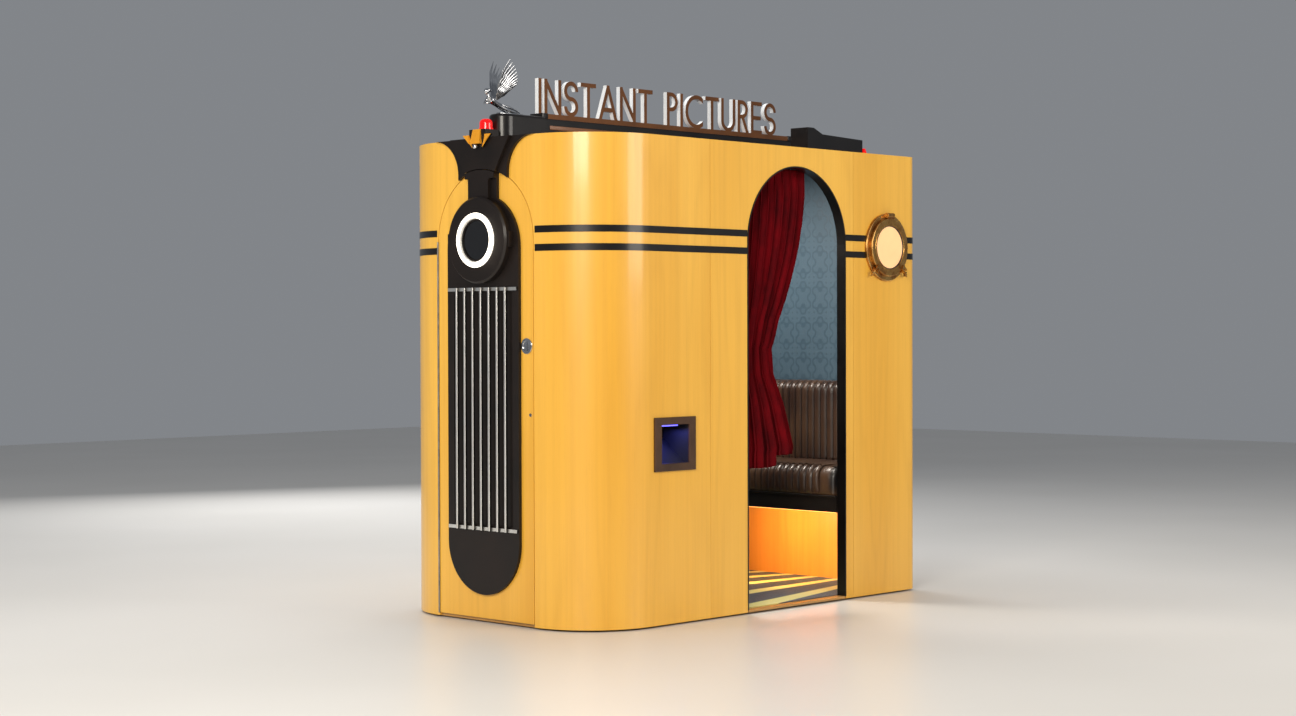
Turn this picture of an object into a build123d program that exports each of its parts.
from build123d import *
from math import atan2, cos, degrees, hypot, radians, sin, sqrt
import os

# Photo booth, streamlined: a machine bay with a rounded end and an arched access door (-X end),
# and a sitting cabin with an arched doorway in the front (-Y) face.
# Units are millimetres, +Z is up, and the origin is on the floor at the centre of the body.

# ---- driving dimensions of the body ----
LENGTH = 2130.0
DEPTH = 1240.0
HEIGHT = 2000.0
CABIN_CORNER_R = 60.0          # plan radius of the two corners at the cabin end
DOOR_R = 290.0                 # half-width of the flat of the machine end, which the access door fills
SKIN = 12.0                    # bent plywood skin
STUD = 28.0                    # depth of the timber frame behind the skin
STUD_W = 45.0
LINING = 5.0                   # cabin wall lining
GROUND_GAP = 8.0               # skins stop this far above the floor
SEAM = 1.5                     # open joint between neighbouring skins
ROOF_T = 18.0
FIT = 0.3                      # clearance of a piece that lies against another body

# ---- base ----
FOOT_R, FOOT_H = 28.0, 6.0
PLATFORM_T = 12.0
MAT_T = 3.0

# ---- vertical seams of the front, counted from the middle ----
BAY_SEAM_X = -367.0
DOORWAY_MARGIN = 54.0          # from the side of the doorway to the next seam
END_SEAM_IN = 100.0            # from the corner of the plan to the seam of the end

# ---- doorway ----
DOORWAY_X = 199.0
DOORWAY_R = 333.0
DOORWAY_HEAD = 84.0            # wall left above the doorway
JAMB_T = 6.0
JAMB_PROUD = 2.0

# ---- accent bands ----
BAND_Z = 1579.0
BAND_H = 28.0
BAND_PITCH = 74.0
BAND_T = 1.5

# ---- access door in the machine end ----
DOOR_EDGE = 2.0                # how far the opening cuts into each bent corner
CROWN_H = 128.0                # wall left above the access opening
DOOR_GAP = 3.5
DOOR_T = 18.0
DOOR_BOTTOM = 20.0
DOOR_LAP = 8.0                 # how far the rebated frame reaches behind the leaf
SEAL = 0.5

# ---- piano hinge of the access door ----
HINGE_PIN_R = 2.0
HINGE_BORE_R = 2.05
KNUCKLE_R = 3.6
KNUCKLE_LIFT = 3.8             # pin centre in front of the wall face
KNUCKLE_L = 40.0
KNUCKLE_GAP = 0.4
HINGE_LEAF_T = 1.2
HINGE_LEAF_W = 14.0

# ---- ornament on the door ----
PANEL_T = 14.0
PANEL_R = 217.0
PANEL_LOW_Z, PANEL_HIGH_Z = 335.0, 1550.0    # centres of its round ends
NECK_HALF = 88.0
RAIL_LOW_Z, RAIL_HIGH_Z = 392.0, 1378.0
RAIL_H, RAIL_T = 14.0, 6.0
BAR_N, BAR_PITCH, BAR_W, BAR_T = 7, 49.4, 12.0, 10.0
FIELD_HALF, FIELD_DEPTH = 178.0, 8.0
RIB_HALF, RIB_PROUD, RIB_FLARE_R = 54.0, 17.0, 12.0
RIB_HEAD_H = 36.0              # wide head of the rib, below the top of the door
DISC_R, DISC_T = 178.0, 36.0
EAR_OUT, EAR_H = 10.0, 62.0
RING_OUT, RING_IN, RING_STANDS, RING_SUNK, RING_ROUND = 112.5, 87.5, 13.0, 10.0, 12.0
GLASS_R, GLASS_T = 80.0, 5.0
CROWN_TOP_HALF, CROWN_NECK_HALF = 296.0, 148.0
CROWN_RIB_TOP_HALF, CROWN_RIB_LOW_HALF = 180.0, 92.0

# ---- door furniture ----
PULL_IN, PULL_Z, PULL_R, PULL_T = 36.5, 1145.0, 32.0, 5.0   # in from the edge of the leaf
PULL_CUP_R, PULL_CUP_T = 22.0, 3.0
SPINDLE_R = 7.0
CAM_L, CAM_W, CAM_T = 44.0, 16.0, 4.0
KEY_IN, KEY_Z, KEY_R, KEY_FACE_R = 16.5, 866.0, 4.0, 7.0
TURN_CLEAR = 0.1               # radial running clearance of a turning spindle

# ---- roof dressing ----
PLINTH_IN, PLINTH_L = 297.0, 1652.0    # behind the access door, and its length
PLINTH_HALF, PLINTH_H = 30.0, 99.0
PEDESTAL_IN, PEDESTAL_HALF, PEDESTAL_H = 47.0, 58.0, 105.0
BEAM_HALF, BEAM_H = 35.0, 21.0
LETTER_H, LETTER_STROKE, LETTER_DEPTH = 151.0, 18.0, 21.0
LETTER_GAP, WORD_GAP = 16.0, 92.0
SIGN_WORDS = "INSTANT PICTURES"
FIGURE_IN, HEAD_RISE, WING_RISE, WING_TILT = 135.0, 92.0, 234.0, 14.0
BRACKET_RISE, BRACKET_DROP, BRACKET_HALF = 12.0, 42.0, 84.0    # above and below the roof edge
BLOCK_HALF, BLOCK_H, BLOCK_DEEP = 48.0, 34.0, 66.0
PROW_TOP_HALF, PROW_LOW_HALF, PROW_DROP = 23.0, 28.5, 26.0
BALL_R = 11.0
BEACON_BACK, BEACON_R, BEACON_RIM, BEACON_H = 40.0, 27.0, 3.0, 46.0
BOX_IN, BOX_L, BOX_FROM_FRONT, BOX_D = 156.0, 397.0, 200.0, 100.0
BOX_HIGH, BOX_LOW = 119.0, 87.0
MARKER_IN, MARKER_R, MARKER_H = 118.0, 22.0, 48.0

# ---- delivery slot ----
SLOT_X, SLOT_Z = -588.0, 743.0
SLOT_W, SLOT_H = 164.0, 157.0
SLOT_FRAME_W, SLOT_FRAME_H, SLOT_FRAME_T = 244.0, 220.0, 10.0
CHUTE_T, CHUTE_D = 2.0, 140.0

# ---- porthole ----
PORT_IN = 242.0                # from the cabin end to the middle of the porthole
SASH_OUT, SASH_W, SASH_T, SASH_GAP = 132.0, 34.0, 14.0, 0.5
PORT_BORE_OVER, PORT_FLANGE_T, PORT_SPIGOT_T = 8.0, 12.0, 4.0
FLANGE_OVER = 21.0             # how far the flange reaches past the sash
PANE_LAP, PANE_T = 6.0, 6.0
PORT_PIN_R, PORT_PIN_OVER = 4.0, 13.0
EAR_R = 11.0
TAB_T = 8.0                    # slotted tab of the sash that a swing bolt clamps
DOG_OVER, DOG_EYE_R, DOG_EYE_W, DOG_BOLT_R = 14.0, 6.0, 8.0, 3.6
DOG_L, DOG_NUT_R, DOG_NUT_H, DOG_NUT_GAP = 40.0, 7.0, 12.0, 0.3
DOG_FORK = 7.0                 # how far the fork of the tab reaches past the bolt
DOG_PIVOT_OUT = 7.5            # pivot centre in front of the flange face
DOG_TRUNNION_R = 2.5

# ---- curtain ----
ROD_HEAD, ROD_R, ROD_IN = 58.0, 11.0, 30.0    # middle of the rod below the top of the body
RING_MAJOR, RING_MINOR = 17.0, 2.2
CURTAIN_DROP, CURTAIN_HEM, CURTAIN_T = 34.0, 620.0, 34.0
LEAD_X, MIDDLE_X = 322.0, 20.0

# ---- cabin and bench ----
BULKHEAD_X, BULKHEAD_T = -307.0, 18.0   # cabin face of the bulkhead
BENCH_DEPTH = 455.0
BENCH_LOW, BENCH_TOP, BENCH_BOARD = 384.0, 455.0, 18.0
BENCH_FRONT_GAP = 35.0         # from the front lining to the end of the bench
SEAT_H, BACK_H, BACK_T = 135.0, 367.0, 90.0
CUSHION_END = 10.0

# ---- customer side of the bulkhead ----
WINDOW_W, WINDOW_H, WINDOW_Z, WINDOW_T = 360.0, 360.0, 1260.0, 5.0
FLASH_W, FLASH_H, FLASH_Y, FLASH_T = 100.0, 560.0, 290.0, 14.0
SCREEN_W, SCREEN_H, SCREEN_Z, SCREEN_T = 340.0, 270.0, 910.0, 16.0
BUTTON_Y, BUTTON_Z, BUTTON_R, BUTTON_TRAVEL = 250.0, 900.0, 22.0, 4.0
COIN_Y, COIN_Z, COIN_W, COIN_H, COIN_T = -290.0, 830.0, 120.0, 260.0, 6.0
RETURN_R, RETURN_TRAVEL = 11.0, 5.0
CASH_W, CASH_H, CASH_L = 110.0, 120.0, 240.0

# ---- machine bay ----
SHELF_Z, SHELF_T, SHELF_D, SHELF_SET = 742.0, 18.0, 560.0, 15.0
FAN_X, FAN_Z, FAN_SIDE, FAN_T, FAN_BORE = -600.0, 1500.0, 120.0, 25.0, 56.0
INLET_X, INLET_Z, INLET_W, INLET_H = -600.0, 200.0, 50.0, 35.0

# ---- faces worked out from the values above ----
END_X = LENGTH / 2
MACHINE_CORNER_R = DEPTH / 2 - DOOR_R  # the bent corners take what the flat of the end leaves
FRONT_Y = -DEPTH / 2
WALL = SKIN + STUD + LINING
INNER_X = END_X - WALL                 # cabin face of the end lining
INNER_Y = DEPTH / 2 - WALL             # cabin face of the back lining
FLOOR = FOOT_H + PLATFORM_T
CEILING = HEIGHT - ROOF_T
OPEN_R = DOOR_R + DOOR_EDGE            # half-width of the access opening
DOOR_ARCH_Z = HEIGHT - CROWN_H - OPEN_R
LEAF_R = OPEN_R - DOOR_GAP
DOOR_FACE = -END_X
PANEL_FACE = DOOR_FACE - PANEL_T
HINGE_Y = OPEN_R - DOOR_GAP / 2
HINGE_X = DOOR_FACE - KNUCKLE_LIFT
BENCH_X = INNER_X - BENCH_DEPTH
PULL_Y, KEY_Y = -LEAF_R + PULL_IN, -LEAF_R + KEY_IN
DOORWAY_SPRING = HEIGHT - DOORWAY_HEAD - DOORWAY_R
CABIN_SEAM_X = DOORWAY_X + DOORWAY_R + DOORWAY_MARGIN
END_SEAM_Y = DEPTH / 2 - END_SEAM_IN
RIB_FACE = PANEL_FACE - RIB_PROUD
PLINTH_X0, PEDESTAL_X0 = DOOR_FACE + PLINTH_IN, DOOR_FACE + PEDESTAL_IN
FIGURE_X, FIGURE_BASE_Z = DOOR_FACE + FIGURE_IN, HEIGHT + PEDESTAL_H
BOX_X1, BOX_Y = END_X - BOX_IN, FRONT_Y + BOX_FROM_FRONT
PORT_X, PORT_R = END_X - PORT_IN, SASH_OUT + FLANGE_OVER
SASH_IN = SASH_OUT - SASH_W
PORT_BORE, PANE_R = SASH_IN + PORT_BORE_OVER, SASH_IN + PANE_LAP
PORT_PIN_UP, DOG_ARM = SASH_OUT + PORT_PIN_OVER, SASH_OUT + DOG_OVER
ROD_Z = HEIGHT - ROD_HEAD
CURTAIN_TOP = ROD_Z - CURTAIN_DROP


def block(x0, x1, y0, y1, z0, z1):
    """Box between two corners."""
    return Pos((x0 + x1) / 2, (y0 + y1) / 2, (z0 + z1) / 2) * Box(x1 - x0, y1 - y0, z1 - z0)


def along_x(sketch, x0, x1):
    """Sketch in (y, z), extruded from x0 to x1."""
    return extrude(Plane.YZ.offset(x0) * sketch, amount=x1 - x0)


def along_y(sketch, y0, y1):
    """Sketch in (x, z), extruded from y0 to y1."""
    return extrude(Plane.XZ.offset(-y1) * sketch, amount=y1 - y0)


def along_z(sketch, z0, z1):
    """Sketch in (x, y), extruded from z0 to z1."""
    return extrude(Plane.XY.offset(z0) * sketch, amount=z1 - z0)


def rect(u0, u1, v0, v1):
    """Flat rectangle between two corners."""
    return Pos((u0 + u1) / 2, (v0 + v1) / 2) * Rectangle(u1 - u0, v1 - v0)


def disc(u, v, radius):
    return Pos(u, v) * Circle(radius)


def arch(centre, half, low, spring):
    """Upright opening with a half-round top."""
    return rect(centre - half, centre + half, low, spring) + disc(centre, spring, half)


def stadium(half, low, high):
    return rect(-half, half, low, high) + disc(0, low, half) + disc(0, high, half)


def outline(inset):
    """Plan of the body, drawn in by the inset (out, where it is negative)."""
    plan = Rectangle(LENGTH - 2 * inset, DEPTH - 2 * inset)
    plan = fillet(plan.vertices().group_by(Axis.X)[0], MACHINE_CORNER_R - inset)
    return fillet(plan.vertices().group_by(Axis.X)[-1], CABIN_CORNER_R - inset)


def shell(outer, inner, z0, z1):
    """Upright wall that follows the plan of the body."""
    return along_z(outline(outer) - outline(inner), z0, z1)


def save(name, *solids):
    """Writes one node: a single piece, or a group of separate pieces."""
    pieces = [s for item in solids for s in item.solids()]
    shape = pieces[0] if len(pieces) == 1 else Compound(children=pieces)
    shape.label = name
    export_step(shape, f"parts/{name}.step")


# ---- body ----

def base():
    """Floor deck with the sill of the doorway, its levelling feet and the mat."""
    deck = along_z(outline(SKIN), FOOT_H, FLOOR)
    sill_half = DOORWAY_R - JAMB_T
    sill = block(DOORWAY_X - sill_half, DOORWAY_X + sill_half, FRONT_Y, FRONT_Y + SKIN, GROUND_GAP, FLOOR)
    save("base_platform", deck + sill)
    feet = [Pos(x, y, FOOT_H / 2) * Cylinder(FOOT_R, FOOT_H)
            for x in (DOOR_FACE + MACHINE_CORNER_R, 0, END_X - 2 * STUD_W)
            for y in (FRONT_Y + 2 * STUD_W, -FRONT_Y - 2 * STUD_W)]
    feet += [Pos(DOOR_FACE + 2 * STUD_W, y, FOOT_H / 2) * Cylinder(FOOT_R, FOOT_H)
             for y in (-DOOR_R / 2, DOOR_R / 2)]
    feet.append(Pos(0, 0, FOOT_H / 2) * Cylinder(FOOT_R, FOOT_H))
    save("levelling_feet", *feet)
    save("floor_mat", block(BULKHEAD_X + 1, INNER_X - 1, -INNER_Y + 1, INNER_Y - 1, FLOOR, FLOOR + MAT_T))


def skins():
    """Five bent plywood skins that meet at open seams."""
    wall = shell(0, SKIN, GROUND_GAP, HEIGHT)
    wall -= along_x(arch(0, OPEN_R, 0, DOOR_ARCH_Z), -END_X - 1, -END_X + SKIN + STUD)
    wall -= along_y(arch(DOORWAY_X, DOORWAY_R, 0, DOORWAY_SPRING), FRONT_Y - 1, FRONT_Y + SKIN + 1)
    wall -= along_y(disc(PORT_X, BAND_Z, PORT_BORE + PORT_SPIGOT_T + FIT), FRONT_Y - 1, FRONT_Y + SKIN + 1)
    wall -= along_y(slot_outline(CHUTE_T + FIT), FRONT_Y - 1, FRONT_Y + SKIN + 1)
    wall -= along_y(disc(FAN_X, FAN_Z, FAN_BORE), -FRONT_Y - SKIN - 1, -FRONT_Y + 1)
    wall -= along_y(inlet_outline(FIT), -FRONT_Y - SKIN - 1, -FRONT_Y + 1)
    far, half_seam = END_X + 10, SEAM / 2
    low, high = 0, HEIGHT + 1
    bay = block(-far, BAY_SEAM_X - half_seam, -far, -half_seam, low, high)
    doorway = block(BAY_SEAM_X + half_seam, CABIN_SEAM_X - half_seam, -far, 0, low, high)
    right = block(CABIN_SEAM_X + half_seam, far, -far, -END_SEAM_Y - half_seam, low, high)
    end = block(INNER_X, far, -END_SEAM_Y + half_seam, END_SEAM_Y - half_seam, low, high)
    back = block(-far, INNER_X, half_seam, far, low, high)
    back += block(INNER_X, far, END_SEAM_Y + half_seam, far, low, high)
    save("front_bay_skin", wall & bay)
    save("doorway_skin", wall & doorway)
    save("front_corner_skin", wall & right)
    save("end_skin", wall & end)
    save("back_skin", wall & back)


def frame():
    """Timber posts with the equipment shelf, and the rebated surround that the access door closes on."""
    inner_face = DEPTH / 2 - SKIN
    jamb_left = DOORWAY_X - DOORWAY_R
    jamb_right = DOORWAY_X + DOORWAY_R
    back_y = (inner_face - STUD, inner_face)
    front_y = (-inner_face, -inner_face + STUD)
    front_x = [(BAY_SEAM_X - STUD_W / 2, BAY_SEAM_X + STUD_W / 2),
               (jamb_left - STUD_W, jamb_left),
               (jamb_right, CABIN_SEAM_X + STUD_W / 2),
               (END_X - CABIN_CORNER_R - STUD_W, END_X - CABIN_CORNER_R)]
    back_x = [(x - STUD_W / 2, x + STUD_W / 2)
              for x in (DOOR_FACE + MACHINE_CORNER_R + STUD_W, BAY_SEAM_X, DOORWAY_X,
                        END_X - CABIN_CORNER_R - STUD_W / 2)]
    posts = [block(*x, *front_y, FLOOR, CEILING) for x in front_x]
    posts += [block(*x, *back_y, FLOOR, CEILING) for x in back_x]
    posts += [block(END_X - SKIN - STUD, END_X - SKIN, y - STUD_W / 2, y + STUD_W / 2, FLOOR, CEILING)
              for y in (-END_SEAM_Y, 0, END_SEAM_Y)]
    front_face = DOOR_FACE + SKIN
    ring = along_x(arch(0, OPEN_R + STUD_W - DOOR_LAP, FLOOR, DOOR_ARCH_Z), front_face, front_face + STUD + SEAL)
    ring -= along_x(arch(0, LEAF_R - DOOR_LAP, FLOOR, DOOR_ARCH_Z), front_face, front_face + 2 * STUD)
    ring -= along_x(arch(0, OPEN_R, FLOOR, DOOR_ARCH_Z), front_face, DOOR_FACE + DOOR_T + SEAL)
    ring &= along_z(outline(SKIN), FLOOR, CEILING)
    arch_part = block(-END_X, 0, -DEPTH, DEPTH, DOOR_ARCH_Z, HEIGHT)
    left_part = block(-END_X, 0, 0, DEPTH, 0, DOOR_ARCH_Z)
    right_part = block(-END_X, 0, -DEPTH, 0, 0, DOOR_ARCH_Z)
    save("door_surround", ring & left_part, ring & right_part, ring & arch_part)
    save("wall_frame", *posts, shelf())


def shelf():
    """Shelf of the machine bay, notched around the coin unit."""
    back = BULKHEAD_X - BULKHEAD_T
    rear = DEPTH / 2 - SKIN - STUD
    board = block(back - SHELF_D, back, FRONT_Y + CHUTE_D + SHELF_SET, rear, SHELF_Z, SHELF_Z + SHELF_T)
    board -= along_x(coin_body_outline(5), back - 80, back + 1)
    return board & along_z(outline(SKIN + FIT), SHELF_Z, SHELF_Z + SHELF_T)


def roof():
    save("roof_panel", along_z(outline(SKIN), CEILING, HEIGHT))


def linings():
    """Doorway jamb, the cabin's wall linings and the bulkhead between cabin and machine bay."""
    jamb = arch(DOORWAY_X, DOORWAY_R, FLOOR, DOORWAY_SPRING)
    jamb -= arch(DOORWAY_X, DOORWAY_R - JAMB_T, FLOOR, DOORWAY_SPRING)
    save("doorway_jamb", along_y(jamb, FRONT_Y - JAMB_PROUD, -INNER_Y))
    front = block(BULKHEAD_X, INNER_X + LINING, -INNER_Y - LINING, -INNER_Y, FLOOR, CEILING)
    front -= along_y(arch(DOORWAY_X, DOORWAY_R, 0, DOORWAY_SPRING), -INNER_Y - WALL, -INNER_Y + 1)
    front -= along_y(disc(PORT_X, BAND_Z, PORT_BORE + PORT_SPIGOT_T + FIT), -INNER_Y - WALL, -INNER_Y + 1)
    back = block(BULKHEAD_X, INNER_X + LINING, INNER_Y, INNER_Y + LINING, FLOOR, CEILING)
    upper = block(INNER_X, INNER_X + LINING, -INNER_Y, INNER_Y, BENCH_LOW, CEILING)
    save("cabin_linings", front, back, upper)
    save("lower_end_panel", block(INNER_X, INNER_X + LINING, -INNER_Y, INNER_Y, FLOOR, BENCH_LOW))
    inner_face = DEPTH / 2 - SKIN
    wall = block(BULKHEAD_X - BULKHEAD_T, BULKHEAD_X, -inner_face, inner_face, FLOOR, CEILING)
    reach = (BULKHEAD_X - BULKHEAD_T - 1, BULKHEAD_X + 1)
    sight = rect(-WINDOW_W / 3, WINDOW_W / 3, WINDOW_Z - WINDOW_H / 3, WINDOW_Z + WINDOW_H / 3)
    wall -= along_x(sight, *reach)
    wall -= along_x(disc(BUTTON_Y, BUTTON_Z, BUTTON_R * 0.6 + FIT), *reach)
    wall -= along_x(coin_body_outline(FIT), *reach)
    save("bulkhead", wall)


def bands():
    """Two black bands around the body, stopped by the door, the doorway and the porthole."""
    pieces = []
    for offset in (-BAND_PITCH / 2, BAND_PITCH / 2):
        z0 = BAND_Z + offset - BAND_H / 2
        band = shell(-BAND_T, 0, z0, z0 + BAND_H)
        band -= block(-END_X - 10, 0, -OPEN_R - 2 * KNUCKLE_R, OPEN_R + 2 * KNUCKLE_R, 0, HEIGHT)
        band -= block(DOORWAY_X - DOORWAY_R, DOORWAY_X + DOORWAY_R, 2 * FRONT_Y, 0, 0, HEIGHT)
        band -= along_y(disc(PORT_X, BAND_Z, PORT_R + FIT), 2 * FRONT_Y, 0)
        pieces.append(band)
    save("accent_bands", *pieces)


# ---- access door ----

def door_leaf():
    leaf = along_x(arch(0, LEAF_R, DOOR_BOTTOM, DOOR_ARCH_Z), DOOR_FACE, DOOR_FACE + DOOR_T)
    reach = (DOOR_FACE - 1, DOOR_FACE + DOOR_T + 1)
    leaf -= along_x(disc(PULL_Y, PULL_Z, SPINDLE_R + TURN_CLEAR), *reach)
    leaf -= along_x(disc(KEY_Y, KEY_Z, KEY_R + TURN_CLEAR), *reach)
    save("access_door", leaf)


def knuckle(index, radius):
    z0 = DOOR_BOTTOM + index * KNUCKLE_L + KNUCKLE_GAP / 2
    length = KNUCKLE_L - KNUCKLE_GAP
    return Pos(HINGE_X, HINGE_Y, z0 + length / 2) * Cylinder(radius, length)


def hinge_leaf(side, first):
    """One leaf of the piano hinge: a strip on the edge, and every second knuckle."""
    outer = HINGE_Y + side * DOOR_GAP / 2
    inner = outer - side * HINGE_LEAF_T
    count = int((DOOR_ARCH_Z - DOOR_BOTTOM) // KNUCKLE_L)
    top = DOOR_BOTTOM + count * KNUCKLE_L
    y0, y1 = min(outer, inner), max(outer, inner)
    clear = HINGE_X + KNUCKLE_R + FIT
    strip = block(clear, clear + HINGE_LEAF_W, y0, y1, DOOR_BOTTOM, top)
    root = HINGE_X + (HINGE_BORE_R + KNUCKLE_R) / 2 - 0.2
    for index in range(first, count, 2):
        z0 = DOOR_BOTTOM + index * KNUCKLE_L + KNUCKLE_GAP / 2
        tab = block(root, clear, y0, y1, z0, z0 + KNUCKLE_L - KNUCKLE_GAP)
        strip += tab + (knuckle(index, KNUCKLE_R) - knuckle(index, HINGE_BORE_R))
    return strip, top


def hinge():
    fixed, top = hinge_leaf(1, 0)
    moving, top = hinge_leaf(-1, 1)
    pin = Pos(HINGE_X, HINGE_Y, (DOOR_BOTTOM + top) / 2) * Cylinder(HINGE_PIN_R, top - DOOR_BOTTOM)
    save("piano_hinge_fixed_leaf", fixed, pin)
    save("piano_hinge_door_leaf", moving)


def radiator():
    """Black shield on the door with its raised neck, and the bright bars on two rails."""
    panel = stadium(PANEL_R, PANEL_LOW_Z, PANEL_HIGH_Z)
    leaf = arch(0, LEAF_R, DOOR_BOTTOM, DOOR_ARCH_Z)
    neck = rect(-NECK_HALF, NECK_HALF, PANEL_HIGH_Z, HEIGHT) & leaf
    plate = along_x(panel + neck, PANEL_FACE, DOOR_FACE)
    field = rect(-FIELD_HALF, FIELD_HALF, RAIL_LOW_Z + RAIL_H, RAIL_HIGH_Z - RAIL_H)
    plate -= along_x(field, PANEL_FACE - 1, PANEL_FACE + FIELD_DEPTH)
    head_z = DOOR_ARCH_Z + LEAF_R - RIB_HEAD_H
    rib = rect(-RIB_HALF, RIB_HALF, BAND_Z, HEIGHT) + rect(-NECK_HALF, NECK_HALF, head_z, HEIGHT)
    inner = [v for v in rib.vertices() if abs(v.Y - head_z) < 1 and abs(v.X) < RIB_HALF + 1]
    rib = (fillet(inner, RIB_FLARE_R) & leaf) - disc(0, BAND_Z, DISC_R + SEAL)
    save("radiator_shield", plate, along_x(rib, RIB_FACE, PANEL_FACE))
    rail_face = PANEL_FACE - RAIL_T
    rails = [along_x(rect(-PANEL_R + 8, PANEL_R - 8, z - RAIL_H / 2, z + RAIL_H / 2), rail_face, PANEL_FACE)
             for z in (RAIL_LOW_Z, RAIL_HIGH_Z)]
    bars = []
    for index in range(BAR_N):
        y = (index - (BAR_N - 1) / 2) * BAR_PITCH
        bar = block(rail_face - BAR_T, rail_face, y - BAR_W / 2, y + BAR_W / 2,
                    RAIL_LOW_Z - RAIL_H / 2, RAIL_HIGH_Z + RAIL_H / 2)
        edges = bar.edges().filter_by(Axis.Z).group_by(Axis.X)[0]
        bars.append(fillet(edges, BAR_T / 2 - 1))
    save("radiator_bars", *rails, *bars)


def ring_lamp():
    """Round housing with a lit ring and a dark glass in its middle."""
    face = PANEL_FACE - DISC_T
    body = along_x(disc(0, BAND_Z, DISC_R), face, PANEL_FACE)
    body = chamfer(body.edges().filter_by(GeomType.CIRCLE).group_by(Axis.X)[0], 8)
    ears = rect(-DISC_R - EAR_OUT, DISC_R + EAR_OUT, BAND_Z - EAR_H / 2, BAND_Z + EAR_H / 2)
    body += along_x(ears, face + DISC_T / 3, PANEL_FACE)
    groove = disc(0, BAND_Z, RING_OUT + FIT / 2) - disc(0, BAND_Z, RING_IN - FIT / 2)
    body -= along_x(groove, face - 1, face + RING_SUNK)
    body -= along_x(disc(0, BAND_Z, GLASS_R + FIT / 2), face - 1, face + 2 * GLASS_T)
    save("ring_lamp_housing", body)
    ring = along_x(disc(0, BAND_Z, RING_OUT) - disc(0, BAND_Z, RING_IN), face - RING_STANDS, face + RING_SUNK)
    ring = fillet(ring.edges().filter_by(GeomType.CIRCLE).group_by(Axis.X)[0], RING_ROUND)
    save("ring_lamp_diffuser", ring)
    save("ring_lamp_glass", along_x(disc(0, BAND_Z, GLASS_R), face + GLASS_T, face + 2 * GLASS_T))


def pull():
    """Round pull that turns a spindle and, behind the rebated frame, a latch cam."""
    frame_back = DOOR_FACE + SKIN + STUD + SEAL
    cam_x = frame_back + 2
    cup = along_x(disc(PULL_Y, PULL_Z, PULL_R), DOOR_FACE - PULL_T, DOOR_FACE - FIT)
    cup = fillet(cup.edges().filter_by(GeomType.CIRCLE).group_by(Axis.X)[0], 1.5)
    cup -= along_x(disc(PULL_Y, PULL_Z, PULL_CUP_R), DOOR_FACE - PULL_T - 1, DOOR_FACE - PULL_T + PULL_CUP_T)
    grip = along_x(rect(PULL_Y - 4, PULL_Y + 4, PULL_Z - PULL_CUP_R, PULL_Z + PULL_CUP_R),
                   DOOR_FACE - PULL_T, DOOR_FACE - FIT)
    spindle = along_x(disc(PULL_Y, PULL_Z, SPINDLE_R), DOOR_FACE - FIT, cam_x + CAM_T)
    cam = along_x(rect(PULL_Y - CAM_W / 2, PULL_Y + CAM_W / 2, PULL_Z - CAM_L, PULL_Z + CAM_W / 2),
                  cam_x, cam_x + CAM_T)
    save("door_pull", cup + grip + spindle + cam)


def key_lock():
    """Small key cylinder with a slotted face."""
    plug = along_x(disc(KEY_Y, KEY_Z, KEY_R), DOOR_FACE - FIT, DOOR_FACE + DOOR_T + 3)
    head = along_x(disc(KEY_Y, KEY_Z, KEY_FACE_R), DOOR_FACE - 2.5, DOOR_FACE - FIT)
    slot = along_x(rect(KEY_Y - 0.6, KEY_Y + 0.6, KEY_Z - 3.5, KEY_Z + 3.5), DOOR_FACE - 3, DOOR_FACE + 2)
    save("key_lock", plug + head - slot)


# ---- crown and roof dressing ----

def funnel(top_half, neck_half):
    """Face that flares upwards from the arch of the door to the roof edge."""
    radius = top_half - neck_half
    split_r = OPEN_R
    low = DOOR_ARCH_Z + sqrt(split_r ** 2 - neck_half ** 2)
    turn = max(HEIGHT - radius, low)
    face = rect(-top_half, top_half, low, HEIGHT)
    for side in (-1, 1):
        face -= disc(side * top_half, turn, radius)
        face -= rect(*sorted((side * neck_half, side * (top_half + 1))), low - 1, turn)
    return face - disc(0, DOOR_ARCH_Z, split_r)


def crown_rib():
    """Straight-sided face that widens from the head of the door's rib to the roof edge."""
    low = DOOR_ARCH_Z + sqrt(OPEN_R ** 2 - CROWN_RIB_LOW_HALF ** 2)
    corners = [(-CROWN_RIB_TOP_HALF, HEIGHT), (CROWN_RIB_TOP_HALF, HEIGHT),
               (CROWN_RIB_LOW_HALF, low), (-CROWN_RIB_LOW_HALF, low)]
    return make_face(Polyline(*corners, close=True)) - disc(0, DOOR_ARCH_Z, OPEN_R)


def crown():
    plate = along_x(funnel(CROWN_TOP_HALF, CROWN_NECK_HALF), PANEL_FACE, DOOR_FACE)
    save("crown", plate, along_x(crown_rib(), RIB_FACE, PANEL_FACE))


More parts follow.
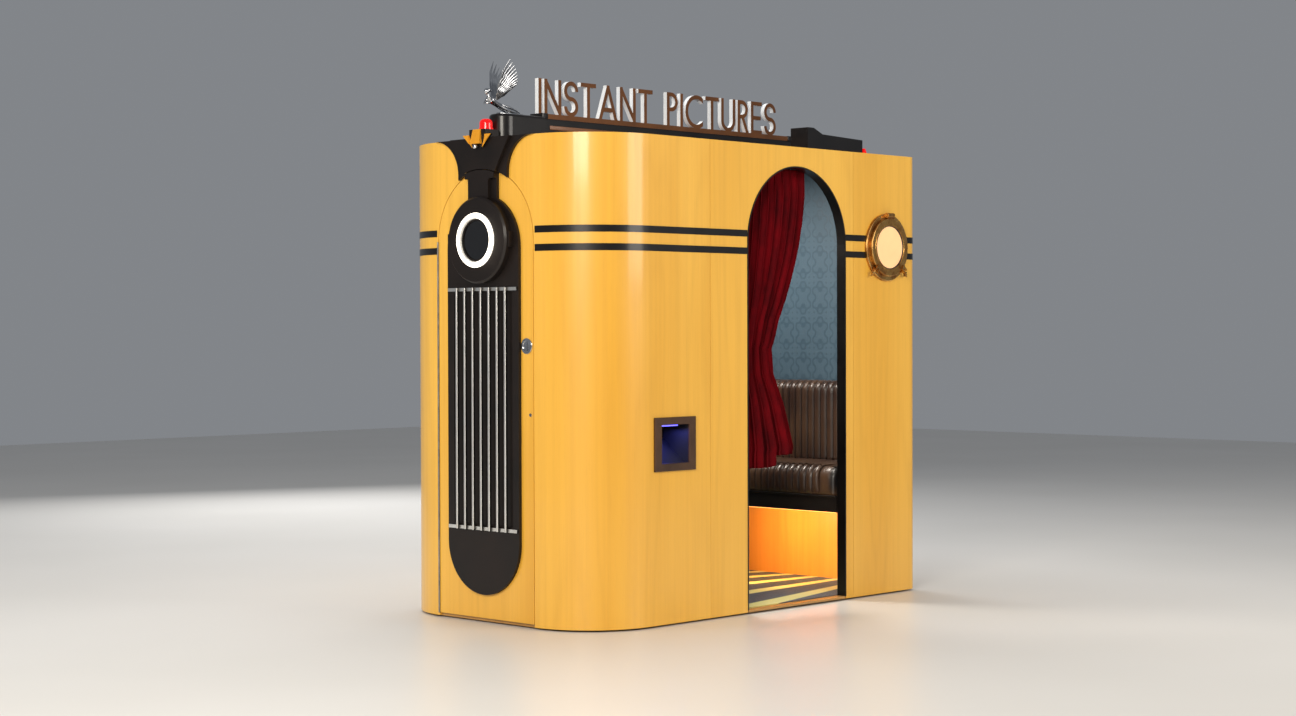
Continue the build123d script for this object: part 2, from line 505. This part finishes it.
def beacon_bracket():
    """Black block on the roof edge with its tapered plate, a leaning prow, side wings and a ball."""
    top_z, low_z = HEIGHT + BRACKET_RISE, HEIGHT - BRACKET_DROP
    face = RIB_FACE - 10
    edge = (BRACKET_HALF - PROW_LOW_HALF) / (BRACKET_RISE + BRACKET_DROP)
    plate = Polyline((-BRACKET_HALF, top_z), (BRACKET_HALF, top_z), (PROW_LOW_HALF, low_z),
                     (-PROW_LOW_HALF, low_z), close=True)
    body = along_x(make_face(plate), face, RIB_FACE)
    body += block(face, RIB_FACE + BLOCK_DEEP, -BLOCK_HALF, BLOCK_HALF, HEIGHT, HEIGHT + BLOCK_H)
    wings = []
    for side in (-1, 1):
        wing = Polyline((side * BLOCK_HALF, top_z), (side * BRACKET_HALF, top_z),
                        (side * BLOCK_HALF, top_z - (BRACKET_HALF - BLOCK_HALF) / edge), close=True)
        wings.append(along_x(make_face(wing), face - 4, face))
    prow_low = HEIGHT - PROW_DROP
    slices = [Plane.XY.offset(z) * rect(face - out, face, -half, half)
              for z, out, half in ((HEIGHT + BLOCK_H, 3, PROW_TOP_HALF), (prow_low, 16, PROW_LOW_HALF))]
    prow = loft(Sketch() + slices)
    ball = Pos(face - BALL_R, 0, prow_low - BALL_R) * Sphere(BALL_R)
    save("beacon_bracket", body, prow, ball, *wings)


def lamps():
    """Red beacon over the door and the small red marker at the far front edge of the roof."""
    beacon_x, base_z = RIB_FACE + BEACON_BACK, HEIGHT + BLOCK_H
    rim = Pos(beacon_x, 0, base_z + 4) * Cylinder(BEACON_R + BEACON_RIM, 8)
    dome = Pos(beacon_x, 0, base_z + 8 + (BEACON_H - 8) / 2) * Cylinder(BEACON_R, BEACON_H - 8)
    dome = fillet(dome.edges().filter_by(GeomType.CIRCLE).group_by(Axis.Z)[-1], 18)
    marker_at = Pos(END_X - MARKER_IN, BOX_Y + MARKER_R, HEIGHT + MARKER_H / 2)
    save("roof_lamps", rim + dome, marker_at * Cone(MARKER_R, MARKER_R / 3, MARKER_H))


def plinth():
    """Streamlined pedestal for the ornament, running back as the plinth of the sign."""
    nose_r = PEDESTAL_HALF
    plan = rect(PEDESTAL_X0 + nose_r, PLINTH_X0, -PEDESTAL_HALF, PEDESTAL_HALF)
    plan += disc(PEDESTAL_X0 + nose_r, 0, nose_r)
    pedestal = along_z(plan, HEIGHT, HEIGHT + PEDESTAL_H)
    pedestal = fillet(pedestal.edges().group_by(Axis.Z)[-1], 14)
    run = block(PLINTH_X0, PLINTH_X0 + PLINTH_L, -PLINTH_HALF, PLINTH_HALF, HEIGHT, HEIGHT + PLINTH_H)
    save("sign_plinth", pedestal + run)
    beam_z = HEIGHT + PLINTH_H
    beam = block(PLINTH_X0, PLINTH_X0 + PLINTH_L, -BEAM_HALF, BEAM_HALF, beam_z, beam_z + BEAM_H)
    save("sign_beam", beam)


def stroke(u0, v0, u1, v1):
    """Straight stroke of a letter between two points of its centre line."""
    angle = degrees(atan2(v1 - v0, u1 - u0))
    length = hypot(u1 - u0, v1 - v0)
    return Pos((u0 + u1) / 2, (v0 + v1) / 2) * Rot(0, 0, angle) * Rectangle(length, LETTER_STROKE)


def hoop(u, v, radius):
    return disc(u, v, radius) - disc(u, v, radius - LETTER_STROKE)


def bowl(low):
    """Right-hand bowl of P and R, with its two arms."""
    r = (LETTER_H + LETTER_STROKE) / 4
    half = LETTER_STROKE / 2
    reach = 30
    round_end = hoop(reach, low + r, r) & rect(reach, reach + r, low, low + 2 * r)
    arms = rect(half, reach, low, low + LETTER_STROKE)
    arms += rect(half, reach, low + 2 * r - LETTER_STROKE, low + 2 * r)
    return round_end + arms


def letter(character):
    """Plain single-stroke capital: its face, from u = 0 to its width."""
    h, s = LETTER_H, LETTER_STROKE
    r = (h + s) / 4
    stem = rect(0, s, 0, h)
    if character == "I":
        return stem
    if character == "N":
        slant = stroke(s / 2, h - s / 2, 100 - s / 2, s / 2) & rect(0, 100, 0, h)
        return stem + rect(100 - s, 100, 0, h) + slant
    if character == "T":
        return rect(0, 92, h - s, h) + rect(46 - s / 2, 46 + s / 2, 0, h)
    if character == "A":
        legs = stroke(s / 2, 0, 58, h - s / 2) + stroke(116 - s / 2, 0, 58, h - s / 2)
        bar = rect(28, 88, 36, 36 + s)
        return (legs + bar + rect(58 - s / 2, 58 + s / 2, h - s, h)) & rect(0, 116, 0, h)
    if character == "E":
        return stem + rect(0, 78, 0, s) + rect(0, 70, (h - s) / 2, (h + s) / 2) + rect(0, 78, h - s, h)
    if character == "U":
        width = 98
        low = hoop(width / 2, width / 2, width / 2) & rect(0, width, 0, width / 2)
        return low + rect(0, s, width / 2, h) + rect(width - s, width, width / 2, h)
    if character == "C":
        return hoop(h / 2, h / 2, h / 2) & rect(0, h * 0.78, 0, h)
    if character == "S":
        upper = hoop(r, h - r, r) - rect(r + 2, 2 * r + 1, 0, h - r)
        lower = hoop(r, r, r) - rect(-1, r - 2, r, h)
        return upper + lower
    if character == "P":
        return stem + bowl(h - 2 * r)
    leg = stroke(34, h - 2 * r + s / 2, 76 - s / 3, 0) & rect(0, 90, 0, h - 2 * r + s)
    return stem + bowl(h - 2 * r) + leg


def sign():
    base_z = HEIGHT + PLINTH_H + BEAM_H
    x = PLINTH_X0
    letters = []
    for character in SIGN_WORDS:
        if character == " ":
            x += WORD_GAP - LETTER_GAP
            continue
        face = letter(character)
        letters.append(along_y(Pos(x, base_z) * face, -LETTER_DEPTH / 2, LETTER_DEPTH / 2))
        x += face.bounding_box().size.X + LETTER_GAP
    save("sign_letters", *letters)


def ornament():
    """Bright figure that leans far forward off its long foot, with two raised wings."""
    foot = Pos(FIGURE_X + 16, 0, FIGURE_BASE_Z + 4) * Box(116, 30, 8)
    foot = fillet(foot.edges().filter_by(Axis.Z), 14)
    spine = [(8, 9, 18), (-34, 22, 14), (-74, 38, 16), (-106, 62, 17), (-119, 78, 9)]
    turns = [(-0.5, 1), (-1, 0.5), (-1, 0.45), (-1, 0.7), (-0.7, 1)]
    rings = [Plane((FIGURE_X + x, 0, FIGURE_BASE_Z + z), x_dir=(0, 1, 0), z_dir=(dx, 0, dz)) * Circle(r)
             for (x, z, r), (dx, dz) in zip(spine, turns)]
    body = loft(Sketch() + rings)
    head = Pos(FIGURE_X - 122, 0, FIGURE_BASE_Z + HEAD_RISE) * Sphere(14)
    wing = Polyline((-84, 52), (-56, 44), (-24, 96), (-4, 168), (-10, WING_RISE), (-40, 150), (-78, 90),
                    close=True)
    face = make_face(wing)
    wings = []
    for side in (-1, 1):
        plate = along_y(Pos(FIGURE_X, FIGURE_BASE_Z) * face, -3, 3)
        hinge_line = Axis((FIGURE_X - 70, 0, FIGURE_BASE_Z + 50), (1, 0, 0))
        wings.append(plate.rotate(hinge_line, -side * WING_TILT).translate((0, side * 9, 0)))
    save("hood_ornament", foot + body + head + wings[0] + wings[1])


def roof_box():
    """Low streamlined case on the roof, high at its left end."""
    x0 = BOX_X1 - BOX_L
    step0, step1 = x0 + 43, x0 + 106
    profile = Polyline((x0, HEIGHT), (x0, HEIGHT + BOX_HIGH), (step0, HEIGHT + BOX_HIGH),
                       (step1, HEIGHT + BOX_LOW + 6), (BOX_X1, HEIGHT + BOX_LOW - 4), (BOX_X1, HEIGHT),
                       close=True)
    save("roof_box", along_y(make_face(profile), BOX_Y, BOX_Y + BOX_D))


# ---- delivery slot ----

def slot_outline(grow):
    return rect(SLOT_X - SLOT_W / 2 - grow, SLOT_X + SLOT_W / 2 + grow,
                SLOT_Z - SLOT_H / 2 - grow, SLOT_Z + SLOT_H / 2 + grow)


def delivery():
    border = rect(SLOT_X - SLOT_FRAME_W / 2, SLOT_X + SLOT_FRAME_W / 2,
                  SLOT_Z - SLOT_FRAME_H / 2, SLOT_Z + SLOT_FRAME_H / 2) - slot_outline(0)
    plate = along_y(border, FRONT_Y - SLOT_FRAME_T, FRONT_Y)
    save("delivery_frame", chamfer(plate.edges().group_by(Axis.Y)[0], 2.5))
    duct = along_y(slot_outline(CHUTE_T) - slot_outline(0), FRONT_Y, FRONT_Y + CHUTE_D)
    x0, x1 = SLOT_X - SLOT_W / 2, SLOT_X + SLOT_W / 2
    z0 = SLOT_Z - SLOT_H / 2
    slope = Polyline((FRONT_Y + 25, z0), (FRONT_Y + CHUTE_D, z0 + SLOT_H * 0.6),
                     (FRONT_Y + CHUTE_D, z0), close=True)
    save("delivery_chute", duct + along_x(make_face(slope), x0, x1))


# ---- porthole ----

def radial_place(angle, radius, out):
    """Place on the porthole: x outwards along the radius, z out of the wall."""
    a = radians(angle)
    at = (PORT_X + radius * cos(a), FRONT_Y - out, BAND_Z + radius * sin(a))
    return Plane(at, x_dir=(cos(a), 0, sin(a)), z_dir=(0, -1, 0)).location


def porthole():
    face = FRONT_Y - PORT_FLANGE_T
    back = -INNER_Y
    flange = along_y(disc(PORT_X, BAND_Z, PORT_R), face, FRONT_Y)
    flange = fillet(flange.edges().filter_by(GeomType.CIRCLE).group_by(Axis.Y)[0], 5)
    flange += along_y(disc(PORT_X, BAND_Z, PORT_BORE + PORT_SPIGOT_T), FRONT_Y, back)
    flange -= along_y(disc(PORT_X, BAND_Z, PORT_BORE), face - 1, back + 1)
    pin_z, pin_y = BAND_Z + PORT_PIN_UP, face - EAR_R - 2
    for x0 in (PORT_X - 24, PORT_X + 13):
        ear = block(x0, x0 + 11, pin_y, face, pin_z - EAR_R, pin_z + EAR_R / 2)
        ear += Pos(x0 + 5.5, pin_y, pin_z) * Rot(0, 90, 0) * Cylinder(EAR_R, 11)
        flange += ear - block(x0 - 1, x0 + 12, face, 0, 0, HEIGHT)
    flange -= Pos(PORT_X, pin_y, pin_z) * Rot(0, 90, 0) * Cylinder(PORT_PIN_R + 0.05, 60)
    for angle in DOG_ANGLES:
        cheek = Pos(0, 0, 0) * Rot(90, 0, 0) * Cylinder(DOG_EYE_R, DOG_EYE_W + 10)
        cheek += Pos(0, 0, -DOG_PIVOT_OUT / 2) * Box(2 * DOG_EYE_R, DOG_EYE_W + 10, DOG_PIVOT_OUT)
        cheek -= Box(3 * DOG_EYE_R, DOG_EYE_W + 2 * FIT, 3 * DOG_EYE_R)
        cheek -= Rot(90, 0, 0) * Cylinder(DOG_TRUNNION_R + 0.05, DOG_EYE_W + 20)
        flange += radial_place(angle, DOG_ARM, PORT_FLANGE_T + DOG_PIVOT_OUT) * cheek
    pin = Pos(PORT_X, pin_y, pin_z) * Rot(0, 90, 0) * Cylinder(PORT_PIN_R, 56)
    save("porthole_flange", flange, pin)
    sash_back = face - SASH_GAP
    sash = along_y(disc(PORT_X, BAND_Z, SASH_OUT), sash_back - SASH_T, sash_back)
    sash = fillet(sash.edges().filter_by(GeomType.CIRCLE).group_by(Axis.Y)[0], 5)
    sash -= along_y(disc(PORT_X, BAND_Z, SASH_IN), sash_back - SASH_T - 1, sash_back + 1)
    pane_y = sash_back - SASH_T / 2
    sash -= along_y(disc(PORT_X, BAND_Z, PANE_R + 0.2), pane_y - PANE_T / 2, pane_y + PANE_T / 2)
    lug = block(PORT_X - 12, PORT_X + 12, pin_y, sash_back - 1, BAND_Z + SASH_OUT - 8, pin_z)
    lug += Pos(PORT_X, pin_y, pin_z) * Rot(0, 90, 0) * Cylinder(EAR_R, 24)
    lug -= block(PORT_X - 13, PORT_X + 13, sash_back - 1, 0, 0, HEIGHT)
    sash += lug
    sash -= Pos(PORT_X, pin_y, pin_z) * Rot(0, 90, 0) * Cylinder(PORT_PIN_R + 0.05, 60)
    out = PORT_FLANGE_T + SASH_GAP + SASH_T
    for angle in DOG_ANGLES:
        tab = Pos((DOG_FORK - 23) / 2, 0, TAB_T / 2) * Box(23 + DOG_FORK, 22, TAB_T)
        tab -= Pos(4, 0, TAB_T / 2) * Box(26, DOG_EYE_W + 2, TAB_T + 2)
        sash += radial_place(angle, DOG_ARM, out) * tab
    save("porthole_sash", sash)
    save("porthole_pane", along_y(disc(PORT_X, BAND_Z, PANE_R), pane_y - PANE_T / 2, pane_y + PANE_T / 2))


DOG_ANGLES = (-135, -45)


def dogs():
    """Swing bolts, drawn released: each lies out along the radius from its pivot."""
    for name, angle in zip(("left", "right"), DOG_ANGLES):
        eye = Rot(90, 0, 0) * Cylinder(DOG_EYE_R, DOG_EYE_W)
        trunnion = Rot(90, 0, 0) * Cylinder(DOG_TRUNNION_R, DOG_EYE_W + 9)
        bolt = Pos(DOG_L / 2, 0, 0) * Rot(0, 90, 0) * Cylinder(DOG_BOLT_R, DOG_L)
        tab_top = SASH_GAP + SASH_T + TAB_T - DOG_PIVOT_OUT
        nut_x = hypot(tab_top, DOG_FORK) + DOG_NUT_GAP + DOG_NUT_H / 2
        nut = Pos(nut_x, 0, 0) * Rot(0, 90, 0) * Cylinder(DOG_NUT_R, DOG_NUT_H)
        wings = Pos(nut_x, 0, 0) * Box(DOG_NUT_H / 2, 4 * DOG_NUT_R, 4)
        dog = eye + trunnion + bolt + nut + wings
        save(f"porthole_dog_{name}", radial_place(angle, DOG_ARM, PORT_FLANGE_T + DOG_PIVOT_OUT) * dog)


# ---- curtain ----

def curtain():
    rod_y = -INNER_Y + ROD_IN
    length = INNER_X - BULKHEAD_X
    rod = Pos((INNER_X + BULKHEAD_X) / 2, rod_y, ROD_Z) * Rot(0, 90, 0) * Cylinder(ROD_R, length)
    for x in (BULKHEAD_X + 4, INNER_X - 4):
        rod += Pos(x, rod_y, ROD_Z) * Rot(0, 90, 0) * Cylinder(2 * ROD_R, 8)
    save("curtain_rod", rod)
    drop = RING_MAJOR - RING_MINOR - ROD_R - FIT
    for name, x in (("lead", LEAD_X), ("middle", MIDDLE_X)):
        centre = Pos(x, rod_y, ROD_Z - drop)
        ring = centre * Rot(0, 90, 0) * Torus(RING_MAJOR, RING_MINOR)
        ring += block(x - 3, x + 3, rod_y - 2, rod_y + 2, CURTAIN_TOP + 0.5, ROD_Z - drop - RING_MAJOR)
        save(f"curtain_ring_{name}", ring)
    x0 = BULKHEAD_X + 8
    edge = [(LEAD_X + 8, CURTAIN_TOP), (LEAD_X - 58, 1491), (LEAD_X - 206, 1163), (LEAD_X - 226, 1128),
            (LEAD_X - 196, 1015), (LEAD_X - 60, 688), (LEAD_X - 90, 650), (x0, CURTAIN_HEM)]
    face = make_face(Polyline(*edge, (x0, CURTAIN_TOP), close=True))
    save("curtain", along_y(face, rod_y - CURTAIN_T / 2, rod_y + CURTAIN_T / 2))


# ---- bench ----

def bench():
    y0, y1 = -INNER_Y + BENCH_FRONT_GAP, INNER_Y
    top = block(BENCH_X, INNER_X, y0, y1, BENCH_TOP - BENCH_BOARD, BENCH_TOP)
    front = block(BENCH_X, BENCH_X + BENCH_BOARD, y0, y1, BENCH_LOW, BENCH_TOP - BENCH_BOARD)
    side = block(BENCH_X + BENCH_BOARD, INNER_X, y0, y0 + BENCH_BOARD, BENCH_LOW, BENCH_TOP - BENCH_BOARD)
    under = BENCH_TOP - BENCH_BOARD
    brackets = []
    for y in (y0 + 160, (y0 + y1) / 2, y1 - 160):
        rib = Polyline((INNER_X, under), (INNER_X - 300, under), (INNER_X, BENCH_LOW + 3), close=True)
        brackets.append(along_y(make_face(rib), y - 3, y + 3))
    save("bench_board", top + front + side, *brackets)
    seat = block(BENCH_X - 6, INNER_X - FIT, y0 + CUSHION_END, y1 - CUSHION_END,
                 BENCH_TOP + FIT, BENCH_TOP + FIT + SEAT_H)
    front_edges = seat.edges().filter_by(Axis.Y).group_by(Axis.X)[0]
    seat = fillet(front_edges, SEAT_H * 0.4)
    save("seat_cushion", seat)
    back_z = BENCH_TOP + SEAT_H + 2 * FIT
    back = block(INNER_X - BACK_T, INNER_X - FIT, y0 + CUSHION_END, y1 - CUSHION_END, back_z, back_z + BACK_H)
    edge = back.edges().filter_by(Axis.Y).group_by(Axis.X)[0].sort_by(Axis.Z)[-1]
    save("backrest_cushion", fillet(edge, BACK_T * 0.5))


# ---- customer side of the bulkhead ----

def coin_body_outline(grow):
    w, h = COIN_W / 2 - 15, COIN_H / 2 - 20
    return rect(COIN_Y - w - grow, COIN_Y + w + grow, COIN_Z - h - grow, COIN_Z + h + grow)


def customer_side():
    x = BULKHEAD_X
    pane = rect(-WINDOW_W / 2, WINDOW_W / 2, WINDOW_Z - WINDOW_H / 2, WINDOW_Z + WINDOW_H / 2)
    save("camera_window", along_x(pane, x, x + WINDOW_T))
    panels = []
    for side in (-1, 1):
        y0, y1 = sorted((side * (FLASH_Y - FLASH_W / 2), side * (FLASH_Y + FLASH_W / 2)))
        panel = block(x, x + FLASH_T, y0, y1, WINDOW_Z - FLASH_H / 2, WINDOW_Z + FLASH_H / 2)
        panels.append(fillet(panel.edges().filter_by(Axis.X), 12))
    save("flash_panels", *panels)
    screen = block(x, x + SCREEN_T, -SCREEN_W / 2, SCREEN_W / 2, SCREEN_Z - SCREEN_H / 2, SCREEN_Z + SCREEN_H / 2)
    save("customer_screen", fillet(screen.edges().filter_by(Axis.X), 10))
    stem_r = BUTTON_R * 0.6
    cap_x = x + BUTTON_TRAVEL + 1
    button = along_x(disc(BUTTON_Y, BUTTON_Z, BUTTON_R), cap_x, cap_x + 8)
    button += along_x(disc(BUTTON_Y, BUTTON_Z, stem_r), x - BULKHEAD_T - 4, cap_x)
    save("start_button", button)


def coin_unit():
    """Coin plate with its acceptor behind the bulkhead, the return button and the cash box."""
    x = BULKHEAD_X
    back = x - BULKHEAD_T
    y0, y1 = COIN_Y - COIN_W / 2, COIN_Y + COIN_W / 2
    plate = block(x, x + COIN_T, y0, y1, COIN_Z - COIN_H / 2, COIN_Z + COIN_H / 2)
    plate += along_x(coin_body_outline(0), back - 60, x)
    plate -= block(x - 10, x + COIN_T + 1, COIN_Y - 1.5, COIN_Y + 1.5, COIN_Z + 60, COIN_Z + 92)
    plate -= along_x(disc(COIN_Y, COIN_Z + 20, RETURN_R + FIT), x - 30, x + COIN_T + 1)
    plate -= block(x - 40, x + COIN_T + 1, COIN_Y - 32, COIN_Y + 32, COIN_Z - 100, COIN_Z - 45)
    wall = 2
    z1 = COIN_Z - COIN_H / 2
    case = block(back - CASH_L - 20, back, y0 - wall, y1 + wall, z1 - CASH_H - 2 * wall - 1, z1)
    case -= block(back - CASH_L - 30, back - wall, y0, y1, z1 - CASH_H - wall - 1, z1 - wall)
    save("coin_unit", plate, case)
    button = along_x(disc(COIN_Y, COIN_Z + 20, RETURN_R), x - 15, x + COIN_T + RETURN_TRAVEL + 3)
    save("coin_return_button", button)
    floor_z = z1 - CASH_H - wall - 1 + FIT
    y_a, y_b = COIN_Y - CASH_W / 2, COIN_Y + CASH_W / 2
    box = block(back - CASH_L - 12, back - 12, y_a, y_b, floor_z, floor_z + CASH_H - 10)
    box -= block(back - CASH_L - 10, back - 14, y_a + 2, y_b - 2, floor_z + 2, floor_z + CASH_H)
    box += block(back - CASH_L - 32, back - CASH_L - 12, COIN_Y - 25, COIN_Y + 25,
                 floor_z + CASH_H / 2 - 4, floor_z + CASH_H / 2 + 4)
    save("cash_box", box)


# ---- machine bay ----

def camera():
    """Camera with its lens behind the window, on an arm fixed to the bulkhead."""
    back = BULKHEAD_X - BULKHEAD_T
    arm_z = WINDOW_Z - WINDOW_H / 3 - 12
    arm = block(back - 230, back, -60, 60, arm_z, arm_z + 6)
    low = arm_z + 6
    case = block(back - 130, back - 60, -70, 70, low, low + 105)
    case += Pos(back - 42, 0, low + 55) * Rot(0, 90, 0) * Cylinder(36, 50)
    case -= Pos(back - 20, 0, low + 55) * Rot(0, 90, 0) * Cylinder(30, 20)
    save("camera", arm, case)


def electronics():
    """Printer over the chute, control unit, fan and mains inlet."""
    back = BULKHEAD_X - BULKHEAD_T
    inner_face = DEPTH / 2 - SKIN
    top = SHELF_Z + SHELF_T
    front = FRONT_Y + CHUTE_D + SHELF_SET
    printer = block(SLOT_X - 150, SLOT_X + 150, front + 5, front + 345, top, top + 240)
    printer -= block(SLOT_X - 80, SLOT_X + 80, front, front + 60, top + 60, top + 90)
    save("photo_printer", fillet(printer.edges().filter_by(Axis.Z), 15))
    unit = block(back - 360, back - 60, 60, 420, top, top + 170)
    unit = fillet(unit.edges().filter_by(Axis.Z), 8)
    inlet = along_y(inlet_outline(0), inner_face - 30, DEPTH / 2)
    inlet += along_y(inlet_outline(8), DEPTH / 2, DEPTH / 2 + 3)
    inlet -= along_y(inlet_outline(-8), DEPTH / 2 - 12, DEPTH / 2 + 4)
    save("control_unit", unit, inlet)
    frame_plate = rect(FAN_X - FAN_SIDE / 2, FAN_X + FAN_SIDE / 2, FAN_Z - FAN_SIDE / 2, FAN_Z + FAN_SIDE / 2)
    case = along_y(frame_plate - disc(FAN_X, FAN_Z, FAN_BORE), inner_face - FAN_T, inner_face)
    spider = rect(FAN_X - FAN_BORE, FAN_X + FAN_BORE, FAN_Z - 3, FAN_Z + 3)
    spider += rect(FAN_X - 3, FAN_X + 3, FAN_Z - FAN_BORE, FAN_Z + FAN_BORE)
    spider += disc(FAN_X, FAN_Z, 20)
    case += along_y(spider & disc(FAN_X, FAN_Z, FAN_BORE), inner_face - 4, inner_face)
    case += along_y(disc(FAN_X, FAN_Z, 4), inner_face - FAN_T + 4, inner_face - 4)
    save("cooling_fan_frame", case)
    hub_y = (inner_face - FAN_T + 1, inner_face - 5)
    rotor = along_y(disc(FAN_X, FAN_Z, 19), *hub_y)
    for index in range(7):
        blade = Pos(36, 0, 0) * Rot(35, 0, 0) * Box(36, 16, 1.6)
        turn = Rot(0, index * 360 / 7, 0)
        rotor += Pos(FAN_X, (hub_y[0] + hub_y[1]) / 2, FAN_Z) * turn * blade
    rotor -= along_y(disc(FAN_X, FAN_Z, 4.05), inner_face - FAN_T + 3, inner_face)
    save("cooling_fan_rotor", rotor)


def inlet_outline(grow):
    return rect(INLET_X - INLET_W / 2 - grow, INLET_X + INLET_W / 2 + grow,
                INLET_Z - INLET_H / 2 - grow, INLET_Z + INLET_H / 2 + grow)


os.makedirs("parts", exist_ok=True)
base()
skins()
frame()
roof()
linings()
bands()
door_leaf()
hinge()
radiator()
ring_lamp()
pull()
key_lock()
crown()
beacon_bracket()
lamps()
plinth()
sign()
ornament()
roof_box()
delivery()
porthole()
dogs()
curtain()
bench()
customer_side()
coin_unit()
camera()
electronics()
